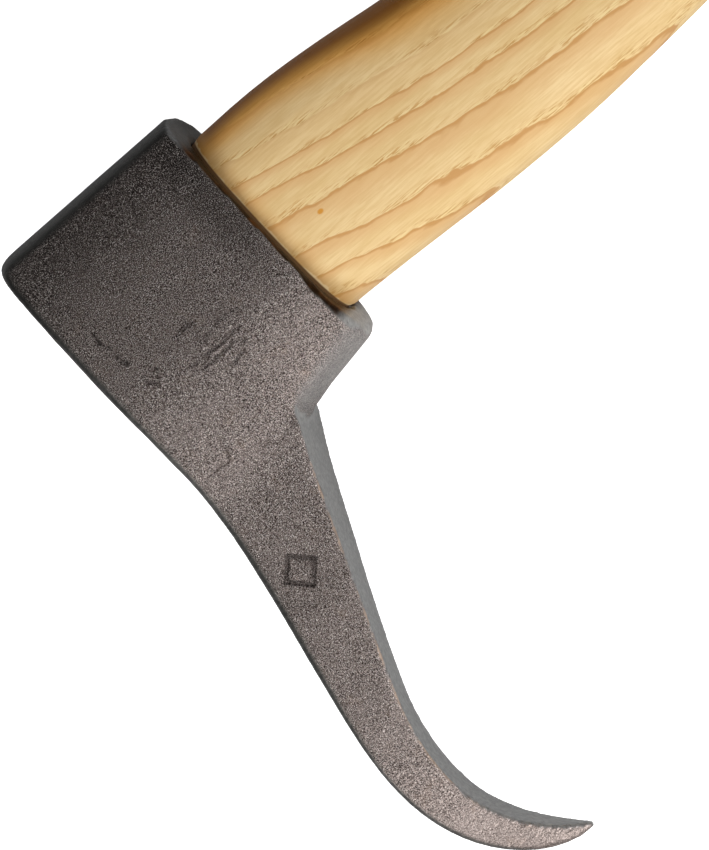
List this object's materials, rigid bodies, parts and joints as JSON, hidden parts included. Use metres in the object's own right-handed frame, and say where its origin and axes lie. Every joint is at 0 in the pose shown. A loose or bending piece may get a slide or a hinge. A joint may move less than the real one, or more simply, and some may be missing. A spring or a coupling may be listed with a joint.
{
  "type": "hookaroon",
  "caption": "Forestry hookaroon with a forged steel head, a thick closed eye block and a long curved pick, wedged on an oval ash handle.",
  "frame": {"origin": "on the lower cheek of the head, under the middle of the eye; the tool lies on its side", "axes": "+X along the handle from the head to the grip, +Y towards the poll and away from the tip of the pick, +Z across the thickness of the head"},
  "size_m": [0.7075, 0.1792, 0.036],
  "materials": {
    "forged_steel": "forged and sand-blasted, dark grey brown, with ground edges",
    "ash_wood": "sanded ash with a thin coat of oil",
    "wedge_wood": "split beech end grain",
    "wedge_steel": "plain rolled steel with hammer marks"
  },
  "bodies": {
    "root": {"pick_head": "forged_steel", "handle": "ash_wood", "wooden_wedge": "wedge_wood", "steel_wedge": "wedge_steel"}
  },
  "joints": []
}
